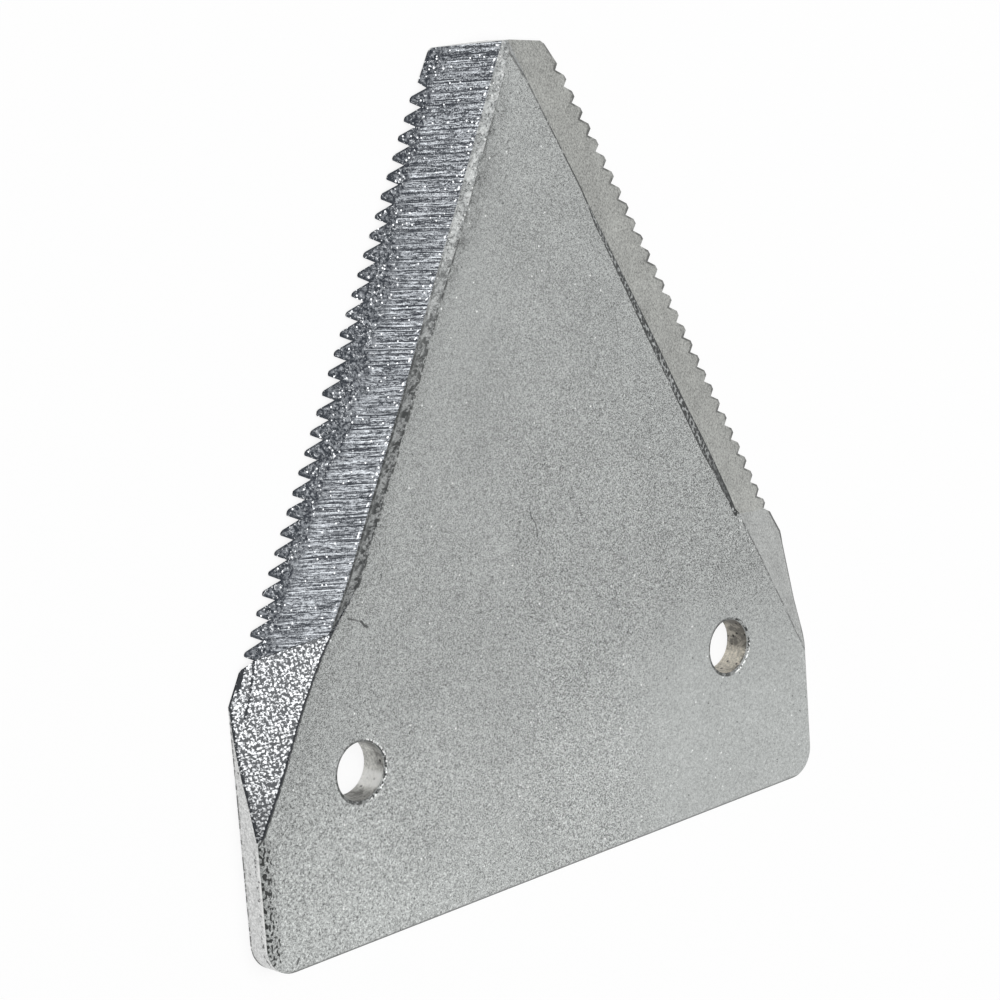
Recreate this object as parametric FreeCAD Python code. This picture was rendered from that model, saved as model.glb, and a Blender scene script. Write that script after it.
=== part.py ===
import FreeCAD, Part
import math
import os

# Mower sickle section: one triangular steel blade, stamped, bevelled on its front and serrated from behind.
# The blade lies flat: its back is on z = 0, its bevelled front faces +Z and its tip points to +Y.
# The origin is the middle between the two fixing holes, on the back. All sizes are millimetres and degrees.
# Heights are measured up the blade from its base edge.

Vector = FreeCAD.Vector
UP = Vector(0, 0, 1)

# Blank
section_width = 75.4
section_length = 81.0
plate_thickness = 2.7
side_height = 25.4
tip_width = 15.8
base_corner_radius = 3.0
tip_corner_radius = 1.0
edge_roll_radius = 0.4

# Fixing holes
hole_spacing = 50.8
hole_diameter = 5.5
hole_setback = 16.7
hole_rim_radius = 0.3

# Stamped bevel beside the holes
bevel_start_height = 13.2
stamped_land = 0.3

# Ground bevel along the teeth, and the strip of the stamped bevel left above it
ground_bevel_width = 6.7
ground_land = 0.12
grind_start_height = 30.1
grind_end_slant = 8.0
strip_width = 1.1
strip_angle = 15.0
strip_run_in = 3.9

# Serrations
serration_pitch = 1.67
serration_depth = 0.58
serration_angle = 104.0
serration_band = 9.0
plain_heel = 3.6
plain_tip = 3.3

# Room by which a cutting shape passes the surface it leaves
cut_margin = 1.0


def above_base(height):
    """The Y of a height measured from the blade's base edge."""
    return height - hole_setback


# Lines of the right half, seen from the front
half_width = section_width / 2
heel = Vector(half_width, above_base(side_height), 0)
edge_end = Vector(tip_width / 2, above_base(section_length), 0)
along_edge = (edge_end - heel).normalize()
out_of_edge = along_edge.cross(UP)
edge_lean = along_edge.x / along_edge.y
reach = section_length + section_width


def beside_edge(distance, height):
    """The point at a height, on the line that runs inside the cutting edge at a distance from it."""
    foot = heel - out_of_edge * distance
    y = above_base(height)
    return Vector(foot.x + (y - foot.y) * edge_lean, y, 0)


shoulder = beside_edge(ground_bevel_width, grind_start_height)
knee = beside_edge(ground_bevel_width + strip_width, grind_start_height + strip_run_in)
bevel_start = Vector(half_width, above_base(bevel_start_height), 0)
along_crease = (shoulder - bevel_start).normalize()
out_of_crease = along_crease.cross(UP)
slant = math.radians(grind_end_slant)
along_grind_end = Vector(math.cos(slant), -math.sin(slant), 0)


def rounded_outline():
    """The blank's outline, with its base and tip corners rounded."""
    corners = [
        (Vector(-half_width, above_base(0), 0), base_corner_radius),
        (Vector(half_width, above_base(0), 0), base_corner_radius),
        (heel, 0),
        (edge_end, tip_corner_radius),
        (Vector(-edge_end.x, edge_end.y, 0), tip_corner_radius),
        (Vector(-heel.x, heel.y, 0), 0),
    ]
    edges = []
    turns = []
    for index, (corner, radius) in enumerate(corners):
        to_last = (corners[index - 1][0] - corner).normalize()
        to_next = (corners[(index + 1) % len(corners)][0] - corner).normalize()
        half_turn = to_last.getAngle(to_next) / 2
        setback = radius / math.tan(half_turn)
        start = corner + to_last * setback
        end = corner + to_next * setback
        if radius > 0:
            inward = (to_last + to_next).normalize()
            middle = corner + inward * (radius / math.sin(half_turn) - radius)
            edges.append(Part.Arc(start, middle, end).toShape())
        turns.append((start, end))
    for (_, end), (start, _) in zip(turns, turns[1:] + turns[:1]):
        edges.append(Part.LineSegment(end, start).toShape())
    return Part.Wire(Part.__sortEdges__(edges))


def front_face(plate):
    """The plate's flat front."""
    return max(plate.Faces, key=lambda face: face.CenterOfMass.z)


def blank():
    """The punched plate: its outline and two holes, with the front rims rolled over by the punch."""
    plate = Part.Face(rounded_outline()).extrude(UP * plate_thickness)
    for side in (-1, 1):
        centre = Vector(side * hole_spacing / 2, 0, -cut_margin)
        plate = plate.cut(Part.makeCylinder(hole_diameter / 2, plate_thickness + 2 * cut_margin, centre))
    hole_rims = [edge for edge in front_face(plate).Edges if edge.Closed]
    plate = plate.makeFillet(hole_rim_radius, hole_rims)
    return plate.makeFillet(edge_roll_radius, front_face(plate).OuterWire.Edges)


def material_over(plan, on_plane, slope, downhill):
    """All that lies over a sloping plane, inside a plan outline. The plane holds the point on_plane
    and falls by the slope for each millimetre in the downhill direction."""
    floor = []
    for point in plan:
        fall = (point - on_plane).dot(downhill) * slope
        floor.append(Vector(point.x, point.y, on_plane.z - fall))
    face = Part.Face(Part.makePolygon(floor + [floor[0]]))
    return face.extrude(UP * reach)


def stamped_bevel():
    """The coined bevel beside the hole, from its crease on the front down to the blunt heel of the edge."""
    low_end = bevel_start - along_crease * reach
    plan = [low_end, shoulder, shoulder + along_grind_end * reach, low_end + out_of_crease * reach]
    width = (heel - bevel_start).dot(out_of_crease)
    slope = (plate_thickness - stamped_land) / width
    return material_over(plan, bevel_start + UP * plate_thickness, slope, out_of_crease)


def ground_bevels():
    """The shallow strip beside the front, and the ground bevel from the strip down to the teeth."""
    high_end = knee + along_edge * reach
    plan = [knee, shoulder, shoulder + along_grind_end * reach, high_end + out_of_edge * reach, high_end]
    strip_slope = math.tan(math.radians(strip_angle))
    strip = material_over(plan, knee + UP * plate_thickness, strip_slope, out_of_edge)
    ridge_z = plate_thickness - strip_width * strip_slope
    slope = (ridge_z - ground_land) / ground_bevel_width
    return [strip, material_over(plan, shoulder + UP * ridge_z, slope, out_of_edge)]


def serration_groove(y):
    """One V groove in the back, level with the base. It is deepest at the edge and runs out inwards."""
    half_groove = serration_depth * math.tan(math.radians(serration_angle / 2))
    rise = serration_depth / serration_band
    length = serration_band + 2 * cut_margin
    edge_x = heel.x + (y - heel.y) * edge_lean
    inner_x = edge_x - serration_band - cut_margin
    apex = -rise * cut_margin
    shelf = apex - serration_depth
    profile = [
        Vector(inner_x, y, apex),
        Vector(inner_x, y + half_groove, shelf),
        Vector(inner_x, y + half_groove, shelf - cut_margin),
        Vector(inner_x, y - half_groove, shelf - cut_margin),
        Vector(inner_x, y - half_groove, shelf),
    ]
    face = Part.Face(Part.makePolygon(profile + [profile[0]]))
    return face.extrude(Vector(length, 0, rise * length))


def serration_heights():
    """The Y of each groove, from the heel to the plain tip."""
    first = heel.y + plain_heel
    room = edge_end.y - plain_tip - first
    count = int(room / serration_pitch) + 1
    return [first + index * serration_pitch for index in range(count)]


def both_sides(cutter):
    """A cutting shape of the right half and its mirror image."""
    return [cutter, cutter.mirror(Vector(0, 0, 0), Vector(1, 0, 0))]


def sickle_section():
    """The finished blade."""
    blade = blank()
    for bevel in [stamped_bevel()] + ground_bevels():
        for cutter in both_sides(bevel):
            blade = blade.cut(cutter)
    grooves = []
    for y in serration_heights():
        grooves.extend(both_sides(serration_groove(y)))
    return blade.cut(grooves).removeSplitter()


os.makedirs("parts", exist_ok=True)
section = sickle_section()
section.exportStep("parts/sickle_section.step")
print("solids", len(section.Solids), "valid", section.isValid(), "volume", round(section.Volume, 1))
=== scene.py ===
import math

import bpy
from bpy.props import FloatProperty, FloatVectorProperty, PointerProperty
from mathutils import Matrix, Vector, noise


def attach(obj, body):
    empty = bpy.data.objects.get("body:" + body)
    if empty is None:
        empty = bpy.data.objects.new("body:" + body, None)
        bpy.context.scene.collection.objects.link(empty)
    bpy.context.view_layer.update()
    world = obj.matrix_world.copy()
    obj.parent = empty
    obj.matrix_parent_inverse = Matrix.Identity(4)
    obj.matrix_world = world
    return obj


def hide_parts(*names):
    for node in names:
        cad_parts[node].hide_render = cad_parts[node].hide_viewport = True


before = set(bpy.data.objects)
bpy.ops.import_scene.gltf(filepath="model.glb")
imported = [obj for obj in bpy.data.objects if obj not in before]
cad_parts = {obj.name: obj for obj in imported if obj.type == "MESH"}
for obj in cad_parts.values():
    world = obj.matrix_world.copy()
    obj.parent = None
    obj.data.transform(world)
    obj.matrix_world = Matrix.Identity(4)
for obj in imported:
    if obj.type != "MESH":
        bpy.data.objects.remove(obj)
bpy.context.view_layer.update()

bl_info = {
    "name": "Mower sickle section",
    "version": (1, 0, 0),
    "blender": (4, 5, 0),
    "location": "3D View > Sidebar > Sickle",
    "description": "Dresses the serrated blade of a mower's sickle and sets it on a pale studio floor",
    "category": "Object",
}

# The blade lies on its flat back at z = 0, bevelled front up, tip towards +Y.
# Its own sizes are in millimetres.
MM = 0.001
NODE = "sickle_section"

# Faces of the blade that are finished differently
FACE = "plate_face"
STRIP = "bevel_strip"
GROUND = "ground_bevel"
COINED = "coined_bevel"
WALL = "sheared_wall"
BORE = "punched_bore"
FINISHES = (FACE, STRIP, GROUND, COINED, WALL, BORE)

# Lines of the blade's right half in its plan, and its slopes and levels, as in the solid
HEEL = Vector((37.7, 8.7))
OUT_OF_EDGE = Vector((0.88139, 0.47240))
BEVEL_START = Vector((37.7, -3.5))
OUT_OF_CREASE = Vector((0.85791, 0.51378))
THICKNESS = 2.7
RIDGE_HEIGHT = 2.405
GROUND_WIDTH = 6.7
GROUND_LAND = 0.12
GROUND_SLOPE = 0.3411
STRIP_SLOPE = 0.26795
COINED_SLOPE = 0.3829
HOLE_X = 25.4
HOLE_RADIUS = 2.75
HOLE_ROLL = 0.3
BASE_Y = -16.7
TIP_Y = 64.3
STRIP_LINE = 7.8
SHOULDER_Y = 13.4
RUN_IN = 0.282
FIRST_GROOVE_Y = 12.3
GROOVE_PITCH = 1.67
GROOVES = 30
GROOVE_DEPTH = 0.58
GROOVE_BAND = 9.0
GROOVE_SPREAD = 1.28

# Where the real blade departs from the even shape: the lower and wider front rims of the holes,
# and the front's upper end
HOLE_DROP = 0.12
HOLE_FLARE = 0.14
APEX_X = 0.22
APEX_Y = 63.4

# What lies over this level belongs to the front
FRONT_LEVEL = 2.2

# The floor lies this far under the blade, and what the camera sees of it has this share of plain white
FLOOR_GAP = 0.05
FLOOR_GLOW = 0.86

# Colours of small marks on the steel, of painted glints and of painted shade
# Black of pits, scratches, creases and rims, and of the painted dark reflection along the base's rolled edge
PIT_AND_REFLECTION_BLACK = (0.03, 0.032, 0.031, 1.0)
# White of bright specks, and of the painted glints on the holes' rims
SPECK_AND_GLINT_WHITE = (0.95, 0.96, 0.95, 1.0)
STRIP_BLACK = (0.025, 0.027, 0.027, 1.0)
STRIP_PALE = (0.72, 0.73, 0.72, 1.0)
# White of the ground bevel's painted glints, and of its bright beads and curls
GLINT_AND_BEAD_WHITE = (0.93, 0.95, 0.97, 1.0)
# Black of the painted shade along the right bevels' outer edges, and of the right crease's faint line
SHADE_AND_CREASE_BLACK = (0.05, 0.05, 0.048, 1.0)
WALL_BLACK = (0.06, 0.06, 0.06, 1.0)
WALL_GLINT = (0.92, 0.92, 0.91, 1.0)
LEFT_BORE_TINT = (0.98, 0.98, 0.96, 1.0)
RIGHT_BORE_TINT = (0.95, 0.9, 0.81, 1.0)
# Dark of the holes' tarnish, and of the painted shade in them
BORE_SHADE_AND_TARNISH = (0.085, 0.083, 0.078, 1.0)
BORE_PIT = (0.03, 0.03, 0.028, 1.0)
BORE_PATCH = (0.92, 0.92, 0.9, 1.0)
WHITE = (1.0, 1.0, 1.0, 1.0)

# The right stamped bevel is painted a little lighter and cooler than the right ground one; the lightening is
# painted light
COINED_LIGHTING_LIFT = (1.04, 1.05, 1.08)


class BladeSettings(bpy.types.PropertyGroup):
    """Sizes and colours of the blade's looks."""

    front_shift: FloatProperty(
        name="Front shift",
        description="How far the bevels' upper lines sit to the right of the middle, at half height",
        default=0.75 * MM,
        unit="LENGTH",
    )
    tip_wear: FloatProperty(
        name="Tip wear",
        description="How much is worn off the right corner of the tip",
        default=0.62 * MM,
        unit="LENGTH",
    )
    tooth_wear: FloatProperty(
        name="Tooth wear",
        description="How far the teeth's edges wander from their cut shape",
        default=0.07 * MM,
        unit="LENGTH",
    )
    hole_shift: FloatProperty(
        name="Hole shift",
        description="How far the holes sit to the right of the middle",
        default=0.24 * MM,
        unit="LENGTH",
    )
    face_colour: FloatVectorProperty(
        name="Face",
        description="Colour of the matt front and back",
        default=(0.335, 0.346, 0.340),
        subtype="COLOR",
    )
    ground_light: FloatVectorProperty(
        name="Ground steel, light",
        description="Colour of the ground bevel's ridges between the grinding lines",
        default=(0.585, 0.612, 0.645),
        subtype="COLOR",
    )
    # Its near-black stands partly for painted shade in the deep grinding lines
    ground_dark: FloatVectorProperty(
        name="Ground steel, dark",
        description="Colour of the ground bevel's deepest lines",
        default=(0.018, 0.021, 0.026),
        subtype="COLOR",
    )
    # The pebbles' near-white tops are a painted highlight
    coined_highlight: FloatVectorProperty(
        name="Coined steel, light",
        description="Colour of the pebbles on the stamped bevel",
        default=(0.92, 0.94, 0.96),
        subtype="COLOR",
    )
    # The near-black between the pebbles is a painted dark reflection; the crease, fold and heel lines use it
    # too
    coined_dark: FloatVectorProperty(
        name="Coined steel, dark",
        description="Colour between the pebbles of the stamped bevel",
        default=(0.03, 0.033, 0.037),
        subtype="COLOR",
    )
    strip_colour: FloatVectorProperty(
        name="Strip",
        description="Colour of the narrow strip between the front and the ground bevel",
        default=(0.29, 0.30, 0.298),
        subtype="COLOR",
    )
    smooth_colour: FloatVectorProperty(
        name="Smooth bevel",
        description="Colour of the bevels on the right",
        default=(0.345, 0.35, 0.333),
        subtype="COLOR",
    )
    wall_colour: FloatVectorProperty(
        name="Wall",
        description="Colour of the sheared side walls",
        default=(0.705, 0.71, 0.705),
        subtype="COLOR",
    )
    bore_colour: FloatVectorProperty(
        name="Bore",
        description="Colour of the walls of the punched holes",
        default=(0.78, 0.78, 0.76),
        subtype="COLOR",
    )


class StageSettings(bpy.types.PropertyGroup):
    """The camera, the floor and the lamps."""

    camera_place: FloatVectorProperty(
        name="Camera place",
        description="Where the camera stands",
        default=(-0.1990026, 0.0807144, 0.2085756),
        subtype="TRANSLATION",
        precision=5,
    )
    camera_right: FloatVectorProperty(
        name="Camera's right",
        description="The direction that is to the right in the picture",
        default=(0.715757, -0.072046, 0.694624),
        subtype="DIRECTION",
    )
    camera_up: FloatVectorProperty(
        name="Camera's up",
        description="The direction that is up in the picture",
        default=(0.193750, 0.976103, -0.098404),
        subtype="DIRECTION",
    )
    focal_length: FloatProperty(
        name="Focal length",
        description="The lens in millimetres, on a 36 mm sensor",
        default=109.70,
        subtype="DISTANCE_CAMERA",
    )
    floor_size: FloatProperty(
        name="Floor size",
        description="Side of the square floor",
        default=4.0,
        unit="LENGTH",
    )
    fill: FloatProperty(
        name="Fill light",
        description="Strength of the even light from all round",
        default=0.55,
    )
    key_power: FloatProperty(
        name="Key power",
        description="Power of the soft lamp overhead",
        default=1.7,
        unit="POWER",
    )
    key_size: FloatProperty(
        name="Key size",
        description="Side of the soft lamp overhead",
        default=0.5,
        unit="LENGTH",
    )
    key_place: FloatVectorProperty(
        name="Key place",
        description="Where the soft lamp overhead hangs",
        default=(0.06, 0.07, 0.6),
        subtype="TRANSLATION",
    )


class Socket:
    """An output of a material's node. Arithmetic on it adds Math or Vector Math nodes, node() any other."""

    def __init__(self, output):
        self.output = output

    def node(self, kind, settings, inputs, output=0):
        """Adds a node to the same tree. Its settings come first, then its inputs, as values or links."""
        tree = self.output.id_data
        made = tree.nodes.new(kind)
        for name, setting in settings.items():
            setattr(made, name, setting)
        for place, value in inputs.items():
            if isinstance(value, Socket):
                tree.links.new(value.output, made.inputs[place])
            else:
                made.inputs[place].default_value = value
        return Socket(made.outputs[output])

    def is_value(self):
        """Whether it is a plain number, and no vector or colour."""
        return self.output.type == "VALUE"

    def arithmetic(self, operation, *operands):
        """A Math node where all operands are plain values, and a Vector Math node otherwise."""
        sockets = [one for one in operands if isinstance(one, Socket)]
        if all(one.is_value() for one in sockets) and not any(isinstance(one, tuple) for one in operands):
            return self.node("ShaderNodeMath", {"operation": operation}, dict(enumerate(operands)))
        vectors = [(one, one, one) if isinstance(one, (int, float)) else one for one in operands]
        return self.node("ShaderNodeVectorMath", {"operation": operation}, dict(enumerate(vectors)))

    def __add__(self, other):
        return self.arithmetic("ADD", self, other)

    def __radd__(self, other):
        return self.arithmetic("ADD", other, self)

    def __sub__(self, other):
        return self.arithmetic("SUBTRACT", self, other)

    def __rsub__(self, other):
        return self.arithmetic("SUBTRACT", other, self)

    def __mul__(self, other):
        return self.arithmetic("MULTIPLY", self, other)

    def __rmul__(self, other):
        return self.arithmetic("MULTIPLY", other, self)

    def __truediv__(self, other):
        return self.arithmetic("DIVIDE", self, other)

    def __lt__(self, other):
        return self.arithmetic("LESS_THAN", self, other)

    def __gt__(self, other):
        return self.arithmetic("GREATER_THAN", self, other)

    def __abs__(self):
        return self.arithmetic("ABSOLUTE", self)

    def rise(self, low, high):
        """A smooth step: 0 at low and 1 at high. It falls where low is over high."""
        settings = {"interpolation_type": "SMOOTHSTEP"}
        return self.node("ShaderNodeMapRange", settings, {0: self, 1: low, 2: high})

    def mix(self, none, full):
        """The colour none where this value is 0, and full where it is 1."""
        return self.node("ShaderNodeMix", {"data_type": "RGBA"}, {0: self, 6: none, 7: full}, 2)

    def noise(self, scale, detail=0.0, roughness=0.5):
        """Cloudy noise from 0 to 1 about 0.5, read at this place."""
        return self.node("ShaderNodeTexNoise", {}, {0: self, 2: scale, 3: detail, 4: roughness})

    def cells(self, scale, output="Distance", dimensions="3D", scatter=1.0):
        """Voronoi cells, read at this place, or along this value."""
        settings = {"voronoi_dimensions": "1D" if self.is_value() else dimensions}
        slot = "W" if self.is_value() else "Vector"
        inputs = {slot: self, "Scale": scale, "Randomness": scatter}
        return self.node("ShaderNodeTexVoronoi", settings, inputs, output)

    def parts(self):
        """The three parts of a vector."""
        split = self.node("ShaderNodeSeparateXYZ", {}, {0: self})
        return [Socket(one) for one in split.output.node.outputs]

    def joined(self, second, third):
        """A vector with this value as its first part."""
        return self.node("ShaderNodeCombineXYZ", {}, {0: self, 1: second, 2: third})

    def dot(self, other):
        """The dot product with another vector."""
        inputs = {0: self, 1: other}
        return self.node("ShaderNodeVectorMath", {"operation": "DOT_PRODUCT"}, inputs, "Value")

    def length(self):
        """The length of a vector."""
        return self.node("ShaderNodeVectorMath", {"operation": "LENGTH"}, {0: self}, "Value")

    def dots(self, scale, radius, share):
        """Round dots of a radius, as a part of the cell's size, in that share of the cells."""
        inside = self.cells(scale).rise(radius, radius * 0.5)
        drawn = self.cells(scale, output="Color").parts()[0]
        return inside * (drawn < share)

    def lines(self, scale, width):
        """Thin lines of a width in millimetres, unevenly spaced along this value, so many a millimetre."""
        return self.cells(scale).rise(width * scale * 0.6, width * scale * 0.3)


def colour(values):
    """A colour as a shader's socket takes it."""
    return (values[0], values[1], values[2], 1.0)


def new_material(name):
    """A steel material: the material itself, its shader node and the place on the blade in millimetres."""
    material = bpy.data.materials.new(name)
    material.use_nodes = True
    shader = material.node_tree.nodes["Principled BSDF"]
    coordinates = material.node_tree.nodes.new("ShaderNodeTexCoord")
    return material, shader, Socket(coordinates.outputs["Object"]) * (1 / MM)


def wear(shader, base_colour, roughness, metallic, shine, relief, depth):
    """Gives the shader what varies over the surface. The depth of the relief is in millimetres."""
    tree = shader.id_data
    bump = relief.node("ShaderNodeBump", {}, {"Strength": 1.0, "Distance": depth * MM, "Height": relief})
    tree.links.new(base_colour.output, shader.inputs["Base Color"])
    tree.links.new(roughness.output, shader.inputs["Roughness"])
    tree.links.new(bump.output, shader.inputs["Normal"])
    shader.inputs["Metallic"].default_value = metallic
    shader.inputs["Specular IOR Level"].default_value = shine


def attribute(place, name):
    """Shader value: a number that the mesh carries at its points."""
    return place.node("ShaderNodeAttribute", {"attribute_name": name}, {}, "Fac")


def limited(value):
    """Shader value: kept between 0 and 1."""
    return value.node("ShaderNodeClamp", {}, {0: value})


def larger(value, other):
    """Shader value: the larger of two."""
    return value.arithmetic("MAXIMUM", value, other)


def background_rays(tree):
    """Shader value: 1 on rays from the camera, and on those that metal or glass sends on."""
    path = tree.nodes.new("ShaderNodeLightPath")
    kinds = ("Is Camera Ray", "Is Glossy Ray", "Is Transmission Ray")
    camera, glossy, through = [Socket(path.outputs[kind]) for kind in kinds]
    return larger(larger(camera, glossy), through)


def on_left(x):
    """Shader value: 1 on the left half of the blade and 0 on the right."""
    return x.rise(0.5, -0.5)


def stroke(flat, start, end, width):
    """Shader value: 1 on a straight scratch between two points of the plan."""
    run = (end[0] - start[0], end[1] - start[1], 0.0)
    from_start = flat - (start[0], start[1], 0.0)
    along = limited(from_start.dot(run) / (run[0] ** 2 + run[1] ** 2))
    return (from_start - along * run).length().rise(width * 0.7, width * 0.3)


def tooth_rim(y, inside, thin, thick):
    """Shader value: 1 where the ground bevel is thinnest, along the outline of the teeth."""
    beside = y.arithmetic("PINGPONG", y - FIRST_GROOVE_Y, GROOVE_PITCH / 2)
    groove = GROOVE_DEPTH - inside * (GROOVE_DEPTH / GROOVE_BAND / OUT_OF_EDGE.x) - beside / GROOVE_SPREAD
    toothed = (y > FIRST_GROOVE_Y - 0.7) * (y < FIRST_GROOVE_Y + GROOVE_PITCH * GROOVES - 1.0)
    return (inside * GROUND_SLOPE + GROUND_LAND - larger(groove, 0.0) * toothed).rise(thick, thin)


def smooth_bevel(place, settings):
    """Colour of the bevels on the right: pale, with faint upright streaks and painted light below the
    shoulder.
    """
    x, y, _ = place.parts()
    grain = place.noise(5.0, 1.0, 0.8)
    streaks = (x * 2.6).joined(y * 0.8, 0.0).noise(1.8, 2.0, 0.7)
    clouds = place.noise(0.35, 2.0, 0.5)
    # Painted light: lighter below the shoulder, so the turn between the two right bevels shades gradually
    painted_shoulder_light = y.rise(18.0, 12.0) * 0.1
    shade = 1.0 + (grain - 0.5) * 1.9 + (streaks - 0.5) * 0.8 + (clouds - 0.5) * 0.5 + painted_shoulder_light
    return shade * tuple(settings.smooth_colour)


# Scratches and nicks of the front: both ends in the plan, the width, and how dark they are
SCRATCHES = [
    ((-1.43, 20.26), (-1.29, 19.18), 0.13, 0.65),
    ((-1.29, 19.18), (-0.77, 18.38), 0.13, 0.65),
    ((-0.77, 18.38), (-0.58, 17.46), 0.13, 0.65),
    ((-0.58, 17.46), (-0.63, 16.95), 0.13, 0.65),
    ((-3.9, 21.5), (-3.8, 20.9), 0.15, 0.4),
    ((-25.2, 14.41), (-24.7, 14.22), 0.2, 0.7),
    ((-24.7, 14.22), (-23.66, 13.8), 0.18, 0.6),
    ((-23.66, 13.8), (-23.3, 13.35), 0.26, 0.85),
    ((-23.3, 13.35), (-23.0, 13.15), 0.26, 0.85),
    ((-34.4, -15.4), (-34.65, -15.85), 0.22, 0.75),
    ((11.9, 37.8), (12.12, 36.06), 0.1, 0.4),
    ((12.12, 36.06), (12.34, 34.24), 0.1, 0.5),
    ((-20.7, 17.6), (-20.9, 17.1), 0.16, 0.6),
    ((-24.4, 10.1), (-24.2, 9.7), 0.2, 0.5),
]


def scratched(flat):
    """Shader value: how dark the scratches make the front."""
    dark = stroke(flat, *SCRATCHES[0][:3]) * SCRATCHES[0][3]
    for start, end, width, darkness in SCRATCHES[1:]:
        dark = larger(dark, stroke(flat, start, end, width) * darkness)
    return dark


def hole_rims(x, y, shift):
    """Shader values along the front rims of the holes: how dark, and where their painted glints are."""
    beside = x - x.arithmetic("SIGN", x) * HOLE_X - shift
    flared = beside - larger(beside, 0.0) * (HOLE_FLARE / HOLE_RADIUS)
    out = flared.joined(y + HOLE_DROP, 0.0).length() - HOLE_RADIUS
    chipped = x.joined(y, 0.1).noise(2.6, 1.0, 0.7)
    far = beside.rise(-0.5, 1.5)
    near_line = (1.0 - far) * out.rise(0.4, 0.3) * (0.45 + chipped.rise(0.4, 0.55) * 0.45)
    far_line = far * chipped.rise(0.42, 0.5) * out.rise(0.36, 0.24) * out.rise(0.02, 0.12)
    dark = (out + 0.02).rise(-0.03, 0.03) * larger(far_line, near_line)
    glinting = larger(y.rise(0.5, -0.8), on_left(x) * 0.8)
    flecks = x.joined(y, 7.3).noise(3.6, 1.0, 0.7).rise(0.5, 0.54)
    # Painted highlights: glints on the rims, mostly low on their right
    bright = out.rise(0.14, 0.2) * out.rise(0.38, 0.3) * beside.rise(0.4, 1.2) * glinting * flecks
    return dark, bright


def low_on_right(x, y):
    """Shader value: 1 around the right hole and below it."""
    return x.rise(5.0, 20.0) * y.rise(10.0, -4.0)


def front_grain(place, coarse, x, y):
    """Shader value: the front's grain about 0, coarser low on the left and softer low on the right."""
    low_left = x.rise(-5.0, -25.0) * y.rise(8.0, -4.0)
    low_right = low_on_right(x, y)
    coarseness = 0.5 + low_left * 1.6 + low_right * 0.5
    softer = x.rise(2.0, -8.0) * 0.75 + y.rise(15.0, 40.0) * 0.9 + low_right * 2.7 + low_left * 0.7
    fineness = 3.0 + y.rise(9.0, -10.0) * 0.7 - softer
    return (coarse - 0.5) * coarseness + (place.noise(11.3) - 0.5) * fineness


def front_light(place, x, y, left, inside, front):
    """Shader value: how light the front is between base and tip, with a smudge beside the left strip."""
    clouds = place.noise(0.16, 3.0, 0.55)
    patches = place.noise(0.7, 3.0, 0.7)
    beside_strip = (inside - STRIP_LINE).rise(2.4, 0.0) * left * front
    smudge = beside_strip * patches.rise(0.42, 0.62) * y.rise(41.0, 46.0) * y.rise(61.0, 56.0)
    low_light = y.rise(9.0, -10.0) * 0.2 + low_on_right(x, y) * 0.08
    base_light = y.rise(-8.0, -14.0) * x.rise(2.0, -20.0) * 0.12
    tip_light = y.rise(46.0, 60.0) * 0.06
    lit = low_light + base_light + tip_light
    return 1.02 + (clouds - 0.5) * 0.3 + lit - smudge * 0.45 - beside_strip * 0.1


def front_creases(place, y, left, inside, crease):
    """Shader value: the dark, broken line where the front meets the strips and the stamped bevels."""
    upper = y.rise(SHOULDER_Y - 0.1, SHOULDER_Y + 0.1)
    run_in = (y - SHOULDER_Y) * RUN_IN + GROUND_WIDTH
    line = abs((inside - y.arithmetic("MINIMUM", run_in, STRIP_LINE)) * upper + crease * (1.0 - upper))
    broken = place.noise(1.3, 2.0, 0.8)
    drawn_left = broken.rise(0.45, 0.55) * (1.0 - y.rise(42.0, 52.0) * 0.6) + (1.0 - upper) * 0.5
    upper_right = broken.rise(0.36, 0.42) * upper * (1.0 - y.rise(52.0, 60.0) * 0.35)
    lower_right = broken.rise(0.4, 0.52) * y.rise(13.2, 12.2) * 0.65
    drawn = limited(drawn_left * left + (upper_right + lower_right) * (1.0 - left))
    return line.rise(0.19 + left * upper * 0.1, 0.08) * drawn


def strip_start(place, y, inside, left):
    """Shader value: the dark, blunt start of the right strip."""
    beside = (inside - GROUND_WIDTH).rise(0.72, 0.6) * y.rise(17.6, 16.8) * y.rise(13.1, 13.4)
    return beside * (1.0 - left) * place.noise(2.2).rise(0.46, 0.52)


def left_rim(x, y, front):
    """Shader values along the front's edge over the left wall: the rim itself, and its pits."""
    rim = x.rise(-35.9, -37.0) * y.rise(-3.2, -4.4) * y.rise(-15.8, -14.2) * front
    near_wall = x.rise(-36.0, -37.0)
    pitting = (x * 1.1).joined(y * 0.75, 0.1).noise(4.3) + near_wall * 0.11
    pitted = limited((pitting - 0.665) * 20.0) * near_wall.rise(0.1, 0.4) * rim.rise(0.0, 0.3)
    return rim, pitted


def crease_specks(x, y, crease):
    """Shader value: fine bright specks on the front, beside the upper end of the right crease."""
    beside = crease.rise(0.9, 0.6) * y.rise(13.2, 12.6) * y.rise(9.4, 10.2) * x.rise(27.0, 27.6)
    return (x * 1.4).joined(y, 0.0).dots(2.2, 0.4, 0.5) * beside


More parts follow.
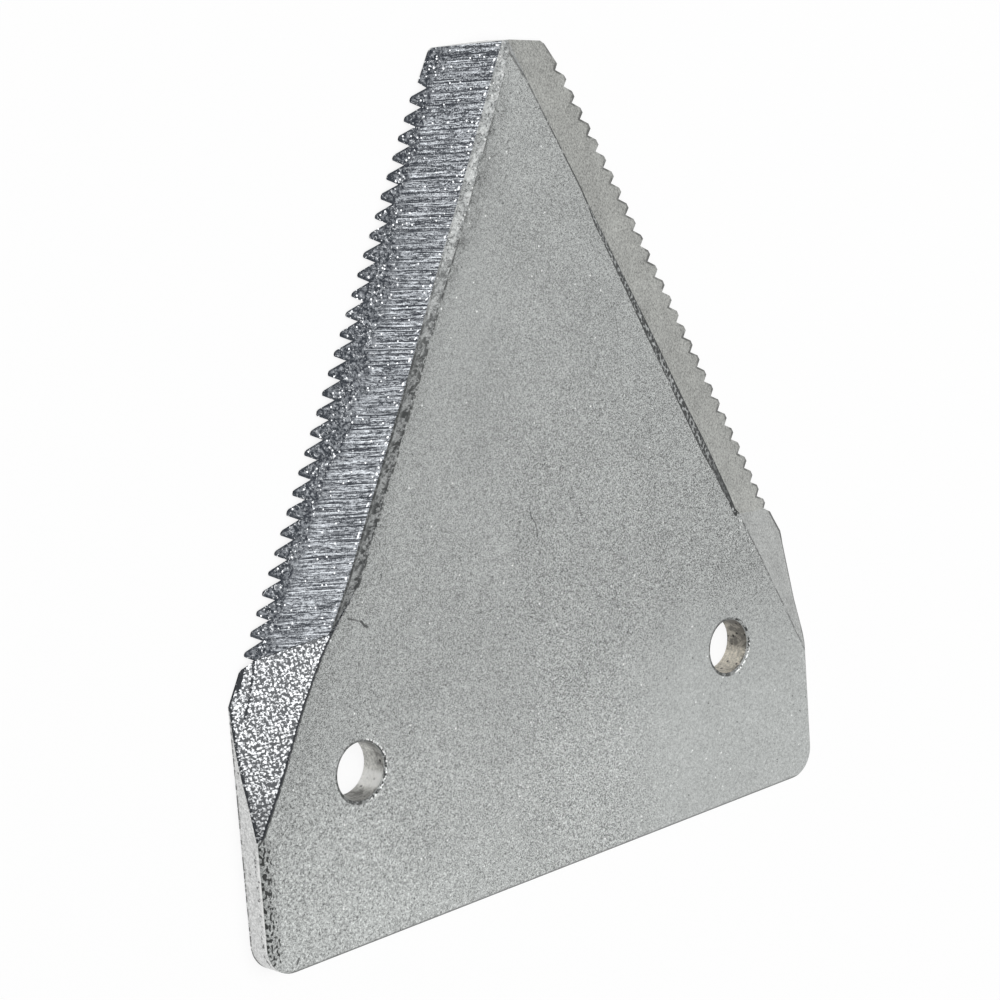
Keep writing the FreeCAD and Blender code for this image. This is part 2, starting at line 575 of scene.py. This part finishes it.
def face_material(settings):
    """Matt shot-blasted steel: fine grain, faint clouds, tiny pits, scratches and a few bright specks."""
    material, shader, place = new_material(FACE)
    x, y, z = place.parts()
    inside = attribute(place, "from_edge")
    crease = attribute(place, "from_crease")
    front = z > FRONT_LEVEL
    left = on_left(x)
    coarse = place.noise(3.6, 1.0, 0.8)
    grain = front_grain(place, coarse, x, y)
    steel = (front_light(place, x, y, left, inside, front) + grain) * tuple(settings.face_colour)
    rim, pitted = left_rim(x, y, front)
    hole_dark, hole_glints = hole_rims(x, y, settings.hole_shift / MM)
    creases = front_creases(place, y, left, inside, crease)
    marks = larger(scratched(x.joined(y, 0.0)), strip_start(place, y, inside, left))
    pits = place.dots(1.0, 0.13, 0.3)
    # Painted dark reflection: a dark line along the rolled edge at the base
    base_reflection = y.rise(BASE_Y + 0.34, BASE_Y + 0.18)
    on_front = larger(larger(creases * 0.92, hole_dark), marks) * front
    all_over = larger(larger(pits * 0.7, base_reflection * 0.6), larger(pitted, rim * 0.15))
    steel = larger(on_front, all_over).mix(steel, PIT_AND_REFLECTION_BLACK)
    # Painted highlights of the holes' rims, joined by the bright specks beside the right crease
    glints = larger(hole_glints, crease_specks(x, y, crease) * 0.6) * front
    steel = larger(place.dots(0.9, 0.12, 0.3) * 0.7, glints).mix(steel, SPECK_AND_GLINT_WHITE)
    roughness = 0.62 - (coarse - 0.5) * 0.3
    wear(shader, steel, roughness, 0.35, 0.5, grain * 0.3 - pitted, 0.015)
    return material


def strip_material(settings):
    """The narrow strip of the stamped bevel that the grinding left: mottled, with dark dashes."""
    material, shader, place = new_material(STRIP)
    x, y, _ = place.parts()
    inside = attribute(place, "from_edge")
    left = on_left(x)
    height = y.rise(32.0, 52.0) * left
    flat = x.joined(y, 0.1)
    grain = (flat.noise(3.7, 1.0, 0.8) - 0.5) * 2.0 + (place.noise(9.5) - 0.5) * 1.2
    shade = (0.68 + height * 0.38 + (1.0 - left) * 0.5) * (1.0 + grain * (1.0 + height * 0.4))
    chips = flat.noise(2.7, 1.0, 0.7)
    inner = (inside - STRIP_LINE).rise(-0.45, -0.12) * (1.0 - height * 0.7) * (0.65 + left * 0.35)
    ridge = (inside - GROUND_WIDTH).rise(0.34, 0.16) * (1.0 - height * 0.6)
    lines = larger(inner * chips.rise(0.44, 0.54) * 0.9, ridge * (0.55 + chips.rise(0.4, 0.55) * 0.45))
    smears = (inside * 0.55).joined(y * 0.6, 4.15).noise(1.7, 3.0, 0.75)
    smeared = smears.rise(0.47, 0.58) * (inside - STRIP_LINE).rise(-1.2, -0.5) * (1.0 - height * 0.8)
    spotted = flat.cells(2.3, dimensions="2D").rise(0.56, 0.36)
    low_spots = y.rise(22.0, 18.0) * (0.78 + spotted * 0.22)
    patches = smeared * left + larger(spotted, low_spots) * (1.0 - left)
    flecks = flat.dots(2.4, 0.34, 0.3) * height * 0.8
    dark = larger(lines, larger(patches, flecks)) * larger(left, y.rise(57.5, 55.5))
    steel = (limited(dark) * 0.95).mix(shade * tuple(settings.strip_colour), STRIP_BLACK)
    pale = smears.rise(0.5, 0.42) * height
    glints = (flat + (3.0, 5.0, 0.0)).dots(2.8, 0.36, 0.4) * height
    steel = larger(pale * 0.3, glints * 0.75).mix(steel, STRIP_PALE)
    wear(shader, steel, 0.5 + grain * 0.2, 0.45, 0.3, grain * 0.4, 0.02)
    return material


def grinding_lines(place, x, y):
    """Shader values of the ground steel: how light it is with its lines, and where the deep ones are."""
    slant = 0.114 - y.rise(44.0, 62.0) * 0.08
    across = y - abs(x) * slant + (place.noise(0.5, 1.0) - 0.5) * 0.14
    reach = (x * 0.4).joined(across * 2.0, 0.0).noise(1.0, 1.0, 0.6)
    other_reach = (x * 0.5).joined(across * 3.0, 5.0).noise(1.0, 1.0, 0.6)
    # The deep lines are real grooves; their near-black is partly painted shade
    deep = across.lines(2.2, 0.12) * (0.2 + reach.rise(0.4, 0.54) * 0.8) * (1.0 - y.rise(26.0, 15.0) * 0.4)
    fine = (across + 31.0).lines(3.5, 0.08) * other_reach.rise(0.42, 0.55)
    # Painted highlights: thin bright sheen lines between the grinding lines
    sheen = (across + 57.0).lines(2.8, 0.1) * other_reach.rise(0.58, 0.44)
    long_lines = ((x * 0.03).joined(across, 3.3).noise(8.7) - 0.5) * 0.7
    short_lines = (x * 0.3).joined(across, 9.75).noise(9.8) - 0.5
    speckle = (place.noise(9.3) - 0.5) * (0.9 + y.rise(42.0, 56.0) * 0.6)
    drift = (place.noise(0.22, 1.0) - 0.5) * 0.2
    light = 0.28 + long_lines + short_lines + speckle + drift - y.rise(46.0, 56.0) * 0.06
    return larger(light, 0.03) * (1.0 - deep * 0.95) * (1.0 - fine * 0.7) + sheen * 0.36, deep


def smooth_ground(place, y, z, inside, settings):
    """Colour of the right ground bevel: smooth, with painted shade along the teeth's rim and painted light on
    a step at its start.
    """
    # Painted shade along the thin edge of the right teeth
    rim = tooth_rim(y, inside, 0.14, 0.3) * place.noise(0.8).rise(0.3, 0.6)
    # Painted light: the small step face at the start of the right ground bevel is lightened
    step = (z - inside * GROUND_SLOPE - GROUND_LAND).rise(0.02, 0.05) * y.rise(15.0, 14.0)
    return (rim * 0.75).mix(smooth_bevel(place, settings), SHADE_AND_CREASE_BLACK) * (1.0 + step * 1.4)


def ground_material(settings):
    """Ground steel: thin dark and bright lines nearly level with the base, broken up towards the teeth, with
    painted sheen, glints and shade.
    """
    material, shader, place = new_material(GROUND)
    x, y, z = place.parts()
    left = on_left(x)
    inside = attribute(place, "from_edge")
    height = y.rise(18.0, 34.0)
    lined, deep = grinding_lines(place, x, y)
    broken = place.noise(3.4, 2.0, 0.85)
    uneven = place.noise(0.8, 2.0, 0.6)
    spread = height - y.rise(44.0, 53.0) * 1.3
    outer = (inside + (uneven - 0.5) * 3.0).rise(2.7 + spread * 1.3, 1.5 + spread * 0.8)
    crossing = (x * 0.5 + y * 1.3).joined(y * 0.5 - x * 1.3, 0.0).noise(1.6, 1.0, 0.7)
    rough = (0.1 + (broken - 0.5) * 1.3 + (crossing - 0.5) * 0.5) * (1.0 - deep * 0.4)
    tone = lined * (1.0 - outer) + rough * outer
    steel = limited(tone).mix(colour(settings.ground_dark), colour(settings.ground_light))
    rim = tooth_rim(y, inside, 0.1, 0.24) * (0.45 + broken.rise(0.4, 0.6) * 0.5)
    steel = rim.mix(steel, colour(settings.ground_dark))
    curls = abs(place.noise(1.6, 1.0) - 0.5).rise(0.022, 0.008) * broken.rise(0.5, 0.56) * outer
    # Painted highlights: sparks of light on the left ground bevel
    spark_glints = place.dots(2.1, 0.25, 0.24 + outer * 0.4 * height)
    beside_bead = y.arithmetic("PINGPONG", y + (uneven - 0.5) * 1.5, 0.32)
    from_bead = beside_bead.joined(inside - (GROUND_WIDTH - 0.22), 0.0).length()
    beads = from_bead.rise(0.13, 0.06) * place.noise(0.9).rise(0.42, 0.5)
    bright = limited(curls * 0.65 + spark_glints * 0.9 + beads * 0.85)
    steel = bright.mix(steel, GLINT_AND_BEAD_WHITE)
    both = left.mix(smooth_ground(place, y, z, inside, settings), steel)
    wear(shader, both, 0.42 + (broken - 0.5) * 0.3, 0.7, 0.15, (tone - bright) * left, 0.015)
    return material


def coined_material(settings):
    """The stamped bevel: pebbles on the left, their bright tops painted highlights and the dark gaps painted
    dark reflections; smooth on the right.
    """
    material, shader, place = new_material(COINED)
    x, y, _ = place.parts()
    left = on_left(x)
    inside = attribute(place, "from_edge")
    crease = attribute(place, "from_crease")
    flat = (x * 0.95).joined(y, 0.08)
    dull = place.noise(1.4, 2.0, 0.7)
    low_end = y.rise(3.0, -2.5)
    # The pebbles' relief is real; their bright tops are painted highlights and the gaps painted dark
    # reflections
    height = (flat.noise(7.5) - 0.5) * 3.0 + (0.38 - flat.cells(2.9, dimensions="2D", scatter=0.75)) * 2.4
    pebbles = limited(0.35 + height + (dull - 0.5) * 0.35 - low_end * 0.14)
    tone = 0.06 + pebbles * (0.84 + (dull - 0.5) * 0.4 - low_end * 0.25)
    heel_shade = inside.rise(0.42, 0.2) * y.rise(9.8, 10.4)
    wall_line = x.rise(-37.44, -37.58) * (0.5 + dull.rise(0.4, 0.5) * 0.5) * (1.0 - y.rise(1.5, -1.5) * 0.6)
    fold = abs(x + 35.6 - (y - 9.8) * 0.35).rise(0.14, 0.05) * y.rise(7.2, 8.0)
    dark = larger(larger(crease.rise(-0.17, -0.06), wall_line), larger(heel_shade, fold * 0.45))
    steel = limited(tone - dark).mix(colour(settings.coined_dark), colour(settings.coined_highlight))
    faint = crease.rise(-0.16, -0.05) * place.noise(1.2, 2.0, 0.8).rise(0.44, 0.56) * y.rise(13.2, 12.2) * 0.7
    # Painted shade: a dark line along the right bevel's outer edge, whose underside lies in shadow
    outline = larger(inside.rise(0.45, 0.28), x.rise(37.44, 37.56)) * (0.65 + y.rise(2.0, 5.0) * 0.35)
    smooth = (larger(faint, outline) * 0.8).mix(smooth_bevel(place, settings) * COINED_LIGHTING_LIFT, SHADE_AND_CREASE_BLACK)
    both = left.mix(smooth, steel)
    wear(shader, both, 0.42 + (dull - 0.5) * 0.2, 0.6, 0.15, pebbles * left, 0.03)
    return material


def wall_material(settings):
    """The sheared side walls: pale and speckled, with fine dark lines along their rims."""
    material, shader, place = new_material(WALL)
    x, y, z = place.parts()
    streaks = (y * 0.3 + x * 0.3).joined(z * 3.0, 0.0).noise(2.0, 2.0, 0.6)
    grain = place.noise(4.5, 1.0, 0.8)
    flecks = place.noise(2.4, 1.0, 0.7)
    corner = y.rise(-14.4, -15.6)
    lower_rim = z.rise(0.26 + corner * 0.2, 0.1 + corner * 0.1) * larger(flecks.rise(0.4, 0.5), corner)
    upper_rim = z.rise(1.6, 1.8) * z.rise(2.1, 1.95) * flecks.rise(0.56, 0.62) * y.rise(-3.0, -6.0)
    glint = z.rise(2.06, 2.16) * y.rise(-4.0, -6.0) * y.rise(-14.4, -13.4) * flecks.rise(0.62, 0.5)
    steel = (1.03 + (grain - 0.5) * 1.3 + (streaks - 0.5) * 0.35) * tuple(settings.wall_colour)
    dark = larger(larger(lower_rim, upper_rim), place.dots(0.9, 0.14, 0.3))
    steel = (dark * 0.85).mix(steel, WALL_BLACK)
    steel = (glint * 0.8).mix(steel, WALL_GLINT)
    wear(shader, steel, 0.5 + (grain - 0.5) * 0.3, 0.35, 0.5, grain, 0.01)
    return material


def bore_material(settings):
    """The walls of the punched holes: unevenly tarnished, with painted shade over their halves towards the
    tip, and warmer in the right one.
    """
    material, shader, place = new_material(BORE)
    x, y, z = place.parts()
    left = on_left(x)
    grain = place.noise(4.0, 1.0, 0.8)
    blotches = place.noise(1.5, 3.0, 0.7)
    beside = x - x.arithmetic("SIGN", x) * HOLE_X
    ends = larger(y.rise(1.2, 2.6) * (0.6 + left * 0.4), y.rise(-2.05, -2.8) * (0.3 + left * 0.7))
    # Painted shade over the holes' halves towards the tip, deeper towards the front
    shaded_left = y.rise(-1.3, -0.2) * (0.2 + z.rise(0.6, 2.4) * 0.42)
    shaded_right = y.rise(-1.6, -0.4) * (0.5 + blotches.rise(0.38, 0.6) * 0.2 + z.rise(0.4, 2.2) * 0.25)
    shaded = shaded_left * left + shaded_right * (1.0 - left)
    front_edge = z.rise(2.2, 2.5) * beside.rise(0.5, 1.5) * blotches.rise(0.42, 0.52)
    shade_and_tarnish = larger(ends * 0.8 + blotches.rise(0.46, 0.66) * 0.35 + shaded, front_edge)
    tint = left.mix(RIGHT_BORE_TINT, LEFT_BORE_TINT)
    steel = tint * ((1.0 + (grain - 0.5) * 1.3) * tuple(settings.bore_colour))
    steel = (limited(shade_and_tarnish) * 0.85).mix(steel, BORE_SHADE_AND_TARNISH)
    steel = (place.dots(1.7, 0.34, 0.4) * 0.9).mix(steel, BORE_PIT)
    patch = y.rise(-0.7, -1.2) * y.rise(-2.4, -2.0) * left * (0.5 + blotches.rise(0.4, 0.55) * 0.4)
    steel = patch.mix(steel, BORE_PATCH)
    wear(shader, steel, 0.5 + (grain - 0.5) * 0.3, 0.45, 0.3, grain, 0.015)
    return material


def deselect_all():
    """Nothing stays selected, because an operator acts on all that is."""
    bpy.ops.object.select_all(action="DESELECT")
    bpy.context.view_layer.objects.active = None


def copy_of_node(name):
    """A new object with a merged copy of the solid's mesh."""
    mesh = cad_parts[NODE].data.copy()
    mesh.name = name
    mesh.materials.clear()
    piece = bpy.data.objects.new(name, mesh)
    bpy.context.collection.objects.link(piece)
    deselect_all()
    piece.select_set(True)
    bpy.context.view_layer.objects.active = piece
    bpy.ops.mesh.customdata_custom_splitnormals_clear()
    bpy.ops.object.mode_set(mode="EDIT")
    bpy.ops.mesh.select_all(action="SELECT")
    bpy.ops.mesh.remove_doubles(threshold=0.0005 * MM)
    bpy.ops.mesh.dissolve_limited(angle_limit=math.radians(0.1))
    bpy.ops.object.mode_set(mode="OBJECT")
    return piece


def inside_edge(x, y):
    """Millimetres inside the cutting edge, in the plan."""
    return (HEEL - Vector((abs(x), y))).dot(OUT_OF_EDGE)


def inside_crease(x, y):
    """Millimetres inside the stamped bevel's crease, in the plan."""
    return (BEVEL_START - Vector((abs(x), y))).dot(OUT_OF_CREASE)


def note_places(mesh):
    """Writes on the mesh how far inside the cutting edge and the crease each point is, for the finishes."""
    for name, measure in (("from_edge", inside_edge), ("from_crease", inside_crease)):
        noted = mesh.attributes.new(name, "FLOAT", "POINT")
        for vertex, entry in zip(mesh.vertices, noted.data):
            entry.value = measure(vertex.co.x / MM, vertex.co.y / MM)


def finish_of(centre, normal):
    """The finish of a face, told by which of the blade's surfaces it lies in."""
    x, y, z = centre / MM
    inside = inside_edge(x, y)
    if math.hypot(abs(x) - HOLE_X, y) < HOLE_RADIUS + 0.02:
        return BORE
    if abs(normal.z) < 0.2:
        return GROUND if HEEL.y + 0.5 < y < TIP_Y - 0.3 else WALL
    if normal.z < 0:
        return FACE if z < 0.01 else GROUND
    planes = [(THICKNESS + COINED_SLOPE * inside_crease(x, y), COINED)]
    if y > HEEL.y and inside > GROUND_WIDTH:
        planes.append((RIDGE_HEIGHT + STRIP_SLOPE * (inside - GROUND_WIDTH), STRIP))
    elif y > HEEL.y:
        planes.append((GROUND_LAND + GROUND_SLOPE * inside, GROUND))
    gap, found = min((abs(z - level), finish) for level, finish in planes)
    return found if gap < 0.03 and z < THICKNESS - 0.003 else FACE


def cut_across(heights):
    """Cuts the mesh in edit mode at those heights along the blade, so that it can follow a curve there."""
    for height in heights:
        bpy.ops.mesh.select_all(action="SELECT")
        bpy.ops.mesh.bisect(plane_co=(0, height * MM, 0), plane_no=(0, 1, 0), use_fill=False)


def between(value, stops):
    """A value read from a line through stops, each a place and a height."""
    for (low, from_height), (high, to_height) in zip(stops, stops[1:]):
        if value <= high:
            share = max(0.0, (value - low) / (high - low))
            return from_height + (to_height - from_height) * share
    return stops[-1][1]


# How much narrower the right strip is than the left one, in millimetres, at heights along the blade
RIGHT_NARROWING = [
    (14.0, 0.6),
    (18.0, 0.45),
    (21.0, 0.15),
    (34.0, 0.15),
    (38.0, 0.35),
    (41.0, 0.5),
    (46.0, 0.6),
    (48.5, 1.0),
]

# Share of the front shift at heights along the blade, on the left and on the right
LEFT_SHIFT = [
    (-4.0, 0.0),
    (-3.3, 0.8),
    (-1.0, 1.0),
    (0.5, 0.6),
    (2.0, 0.35),
    (5.0, 0.08),
    (6.5, -0.1),
    (8.0, -0.2),
    (11.0, 0.0),
    (12.3, 0.15),
    (14.0, 0.6),
    (18.0, 1.0),
    (33.0, 1.0),
    (42.0, 0.66),
    (50.0, 0.6),
    (59.0, 0.2),
    (64.3, 0.0),
]
RIGHT_SHIFT = [
    (-4.0, 0.0),
    (2.0, 0.4),
    (5.0, 0.55),
    (8.0, 0.85),
    (13.0, 1.0),
    (18.0, 1.2),
    (33.0, 1.2),
    (42.0, 0.86),
    (50.0, 0.7),
    (59.0, 0.3),
    (64.3, 0.2),
]

# How much further right the right ridge starts, in millimetres, at heights along the blade
RIGHT_RIDGE = [(13.4, 0.1), (15.0, 0.25), (22.0, 0.2), (26.0, 0.04), (46.0, 0.04), (50.0, 0.0)]

# Heights at which the blade is cut across beside the stamped bevels
LOW_CUTS = (-4.0, -1.0, 0.5, 2.0, 3.5, 5.0, 6.5, 8.0, 9.5, 11.0)

# How high the stamped bevels' outer lines lie on the side walls, at heights along the blade
LEFT_RIM = [(-2.2, 1.98), (-0.5, 1.64), (1.2, 1.19), (2.6, 0.81), (3.9, 0.58), (5.8, 0.28), (8.7, 0.08)]
RIGHT_RIM = [(-1.4, 2.3), (2.1, 1.33), (8.3, 0.08), (8.7, 0.05)]
LEFT_BEVEL_START = -3.3

# Inside the side walls the front shift comes in over this width
SIDE_ROOM = 3.0


def sink_bevel_rims(piece):
    """Lets the stamped bevels bend down further at the side walls, and the left one start lower."""
    for vertex in piece.data.vertices:
        x, y, z = vertex.co / MM
        rim = THICKNESS + COINED_SLOPE * inside_crease(x, y)
        if x < -HEEL.x + 0.42 and -3.0 < y < -1.4 and abs(z - rim) < 0.02:
            vertex.co.y = (LEFT_BEVEL_START - (THICKNESS - z) * 0.8) * MM
        elif abs(x) > HEEL.x - 0.01 and -1.45 < y < HEEL.y + 0.1:
            vertex.co.z *= between(y, LEFT_RIM if x < 0 else RIGHT_RIM) / rim


def shift_holes(piece, shift):
    """Moves both holes to the right. Their front rims sit a little lower, and are wider on the right."""
    for vertex in piece.data.vertices:
        x, y, z = vertex.co / MM
        if at_bore(x, y):
            beside = x - math.copysign(HOLE_X, x)
            flare = HOLE_FLARE * max(0.0, beside / HOLE_RADIUS)
            vertex.co.x += shift + flare * z / THICKNESS * MM
            vertex.co.y -= HOLE_DROP * z / THICKNESS * MM


def at_bore(x, y):
    """Whether a point of the plan belongs to a hole's wall or its rolled rim."""
    return math.hypot(abs(x) - HOLE_X, y) < HOLE_RADIUS + HOLE_ROLL + 0.05


def shift_front(piece, shift):
    """Moves the bevels' upper lines sideways, and the surfaces below them less the lower they are."""
    for vertex in piece.data.vertices:
        x, y, z = vertex.co / MM
        if at_bore(x, y):
            continue
        share = between(y, LEFT_SHIFT if x < 0 else RIGHT_SHIFT)
        room = min(1.0, max(0.0, (HEEL.x - abs(x)) / SIDE_ROOM))
        height = min(1.0, max(0.0, z / THICKNESS))
        vertex.co.x += shift * share * room * height
        inside = inside_edge(x, y)
        on_strip_line = abs(inside - STRIP_LINE) < 0.1
        if on_strip_line and abs(x) < 0.01 and z > THICKNESS - 0.01:
            vertex.co.x, vertex.co.y = APEX_X * MM, APEX_Y * MM
        elif on_strip_line and x > 0:
            vertex.co.x += between(y, RIGHT_NARROWING) * MM
        elif x > 0 and abs(inside - GROUND_WIDTH) < 0.05 and z > 2.3:
            vertex.co.x += between(y, RIGHT_RIDGE) * MM


# Wear of the cutting edges, as a share of the tip's, at heights along the blade
LEFT_WEAR = [(59.5, 0.0), (60.8, 0.0), (61.6, 0.7), (64.3, 0.75)]
RIGHT_WEAR = [
    (9.5, 0.0),
    (12.0, 0.25),
    (15.5, 0.25),
    (18.0, 0.0),
    (50.0, 0.0),
    (56.0, 0.25),
    (60.0, 0.55),
    (62.0, 1.0),
    (64.3, 1.35),
]

# The worn corner of the tip: how far down it reaches, where it starts and over what width it grows
WORN_DEPTH = 1.2
WORN_START = 2.0
WORN_RUN = 4.5

# How far inside the cutting edge the wear of the edges and of the teeth reaches
EDGE_REACH = 3.0
TOOTH_REACH = 1.6


def wear_tip(piece, wear_depth):
    """Wears the right corner of the tip down, and the edges beside the tip in."""
    for vertex in piece.data.vertices:
        x, y, _ = vertex.co / MM
        if y > TIP_Y - WORN_DEPTH and x > WORN_START:
            share = min(1.0, (x - WORN_START) / WORN_RUN)
            vertex.co.y -= wear_depth * share * share * min(1.0, y - TIP_Y + WORN_DEPTH)
        near = 1.0 - min(1.0, max(0.0, inside_edge(x, y)) / EDGE_REACH)
        share = near * between(y, LEFT_WEAR if x < 0 else RIGHT_WEAR)
        vertex.co.x -= math.copysign(wear_depth * share, x)


def wander(place):
    """How far a point of a tooth's edge wanders sideways and along, from -1 to 1, the same in every run."""
    sideways = noise.noise(place + Vector((0.3, 0.6, 0.4)))
    along = noise.noise(place + Vector((31.4, 17.2, 5.6)))
    return sideways, along


def wear_teeth(piece, wear_depth):
    """Lets the teeth's edges wander a little, each in its own way."""
    for vertex in piece.data.vertices:
        x, y, z = vertex.co / MM
        inside = inside_edge(x, y)
        if inside < TOOTH_REACH and FIRST_GROOVE_Y - 1.5 < y < TIP_Y - 0.6:
            sideways, along = wander(Vector((x * 1.9, y * 1.9, z * 3.0)))
            share = 1.0 - max(0.0, inside) / TOOTH_REACH
            vertex.co.x -= math.copysign(1.0, x) * abs(sideways) * wear_depth * share
            vertex.co.y += along * wear_depth * share


def mark_creases(mesh, limit):
    """Shades smooth, but keeps the creases between finishes and all edges over the limit sharp."""
    mesh.shade_smooth()
    sides = {}
    for polygon in mesh.polygons:
        for key in polygon.edge_keys:
            sides.setdefault(key, []).append(polygon)
    for edge in mesh.edges:
        pair = sides.get(edge.key, [])
        if len(pair) == 2:
            turn = pair[0].normal.angle(pair[1].normal, 0.0)
            finishes = {FINISHES[one.material_index] for one in pair}
            least = math.radians(12.0 if FACE in finishes else 2.0)
            flat = {one.normal.z > 0.99999 for one in pair}
            edge.use_edge_sharp = turn > limit or (len(finishes) == 2 and turn > least) or len(flat) == 2


def weigh_normals(piece):
    """Lets the larger faces lead the smooth shading, so that narrow rolled edges don't tilt it."""
    deselect_all()
    piece.select_set(True)
    bpy.context.view_layer.objects.active = piece
    bpy.ops.object.modifier_add(type="WEIGHTED_NORMAL")
    weighted = piece.modifiers[-1]
    weighted.mode = "FACE_AREA_WITH_ANGLE"
    weighted.keep_sharp = True
    bpy.ops.object.modifier_apply(modifier=weighted.name)


# In the order of the finishes
FINISH_MAKERS = (
    face_material,
    strip_material,
    ground_material,
    coined_material,
    wall_material,
    bore_material,
)


class SICKLE_OT_blade(bpy.types.Operator):
    """Makes the blade: the solid's shape with the unevenness and wear of a real one, and its finishes."""

    bl_idname = "sickle.blade"
    bl_label = "Make the blade"

    def execute(self, context):
        settings = context.scene.sickle_blade
        piece = copy_of_node("blade")
        for maker in FINISH_MAKERS:
            piece.data.materials.append(maker(settings))
        for polygon in piece.data.polygons:
            polygon.material_index = FINISHES.index(finish_of(polygon.center, polygon.normal))
        bpy.ops.object.mode_set(mode="EDIT")
        bpy.ops.mesh.select_all(action="SELECT")
        bpy.ops.mesh.bisect(plane_co=(0, 0, 0), plane_no=(1, 0, 0), use_fill=False)
        cut_across(LOW_CUTS)
        cut_across([FIRST_GROOVE_Y + GROOVE_PITCH * index for index in range(GROOVES)])
        bpy.ops.object.mode_set(mode="OBJECT")
        note_places(piece.data)
        sink_bevel_rims(piece)
        shift_front(piece, settings.front_shift)
        shift_holes(piece, settings.hole_shift)
        wear_tip(piece, settings.tip_wear)
        wear_teeth(piece, settings.tooth_wear)
        mark_creases(piece.data, math.radians(35.0))
        weigh_normals(piece)
        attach(piece, "root")
        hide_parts(NODE)
        return {"FINISHED"}


class SICKLE_OT_stage(bpy.types.Operator):
    """Sets the pale floor, the white surroundings, the soft lamp and the camera."""

    bl_idname = "sickle.stage"
    bl_label = "Set the stage"

    def execute(self, context):
        settings = context.scene.sickle_stage
        self.make_floor(settings)
        self.make_surroundings(context.scene, settings)
        self.make_lamp(settings)
        self.make_camera(context.scene, settings)
        context.scene.view_settings.view_transform = "Standard"
        return {"FINISHED"}

    def make_floor(self, settings):
        """A pale floor just under the blade, seen nearly white, with the blade's shadow on it."""
        deselect_all()
        bpy.ops.mesh.primitive_plane_add(size=settings.floor_size, location=(0, 0, -FLOOR_GAP * MM))
        floor = bpy.context.active_object
        floor.name = "floor"
        bpy.ops.object.transform_apply(location=True, rotation=True, scale=True)
        material = bpy.data.materials.new("pale_floor")
        material.use_nodes = True
        tree = material.node_tree
        shader = tree.nodes["Principled BSDF"]
        shader.inputs["Base Color"].default_value = WHITE
        shader.inputs["Roughness"].default_value = 0.9
        rays = background_rays(tree)
        white = rays.node("ShaderNodeEmission", {}, {"Color": WHITE, "Strength": 1.0})
        inputs = {0: rays * FLOOR_GLOW, 1: Socket(shader.outputs[0]), 2: white}
        seen = rays.node("ShaderNodeMixShader", {}, inputs)
        tree.links.new(seen.output, tree.nodes["Material Output"].inputs["Surface"])
        floor.data.materials.append(material)

    def make_surroundings(self, scene, settings):
        """A white studio as the camera and the steel see it, and a plain fill light."""
        world = bpy.data.worlds.new("white_studio")
        world.use_nodes = True
        scene.world = world
        tree = world.node_tree
        white = background_rays(tree)
        background = tree.nodes["Background"]
        background.inputs["Color"].default_value = WHITE
        tree.links.new((settings.fill + white * (1.0 - settings.fill)).output, background.inputs["Strength"])

    def make_lamp(self, settings):
        """One large soft lamp overhead."""
        deselect_all()
        place = Vector(settings.key_place)
        turn = (-place).to_track_quat("-Z", "Y").to_euler()
        bpy.ops.object.light_add(type="AREA", location=place, rotation=turn)
        lamp = bpy.context.active_object
        lamp.name = "soft_lamp"
        lamp.data.size = settings.key_size
        lamp.data.energy = settings.key_power

    def make_camera(self, scene, settings):
        """The camera at the photograph's viewing angle."""
        deselect_all()
        right = Vector(settings.camera_right).normalized()
        up = Vector(settings.camera_up).normalized()
        back = right.cross(up)
        turn = Matrix((right, back.cross(right), back)).transposed()
        bpy.ops.object.camera_add(location=settings.camera_place, rotation=turn.to_euler())
        camera = bpy.context.active_object
        camera.name = "camera"
        camera.data.lens = settings.focal_length
        camera.data.sensor_width = 36.0
        camera.data.clip_start = 0.01
        camera.data.clip_end = 10.0
        scene.camera = camera


class VIEW3D_PT_sickle(bpy.types.Panel):
    """Lists the pieces and their sizes and colours."""

    bl_label = "Mower sickle section"
    bl_space_type = "VIEW_3D"
    bl_region_type = "UI"
    bl_category = "Sickle"

    def draw(self, context):
        groups = (
            (context.scene.sickle_blade, "sickle.blade"),
            (context.scene.sickle_stage, "sickle.stage"),
        )
        for settings, operator in groups:
            box = self.layout.box()
            box.operator(operator)
            for name in settings.__annotations__:
                box.prop(settings, name)


CLASSES = (BladeSettings, StageSettings, SICKLE_OT_blade, SICKLE_OT_stage, VIEW3D_PT_sickle)


def register():
    """Adds the settings, operators and panel."""
    for one in CLASSES:
        bpy.utils.register_class(one)
    bpy.types.Scene.sickle_blade = PointerProperty(type=BladeSettings)
    bpy.types.Scene.sickle_stage = PointerProperty(type=StageSettings)


def unregister():
    """Takes them out again."""
    del bpy.types.Scene.sickle_stage
    del bpy.types.Scene.sickle_blade
    for one in reversed(CLASSES):
        bpy.utils.unregister_class(one)


def main():
    """Makes the blade and its stage."""
    register()
    bpy.ops.sickle.blade()
    bpy.ops.sickle.stage()


if __name__ == "__main__":
    main()
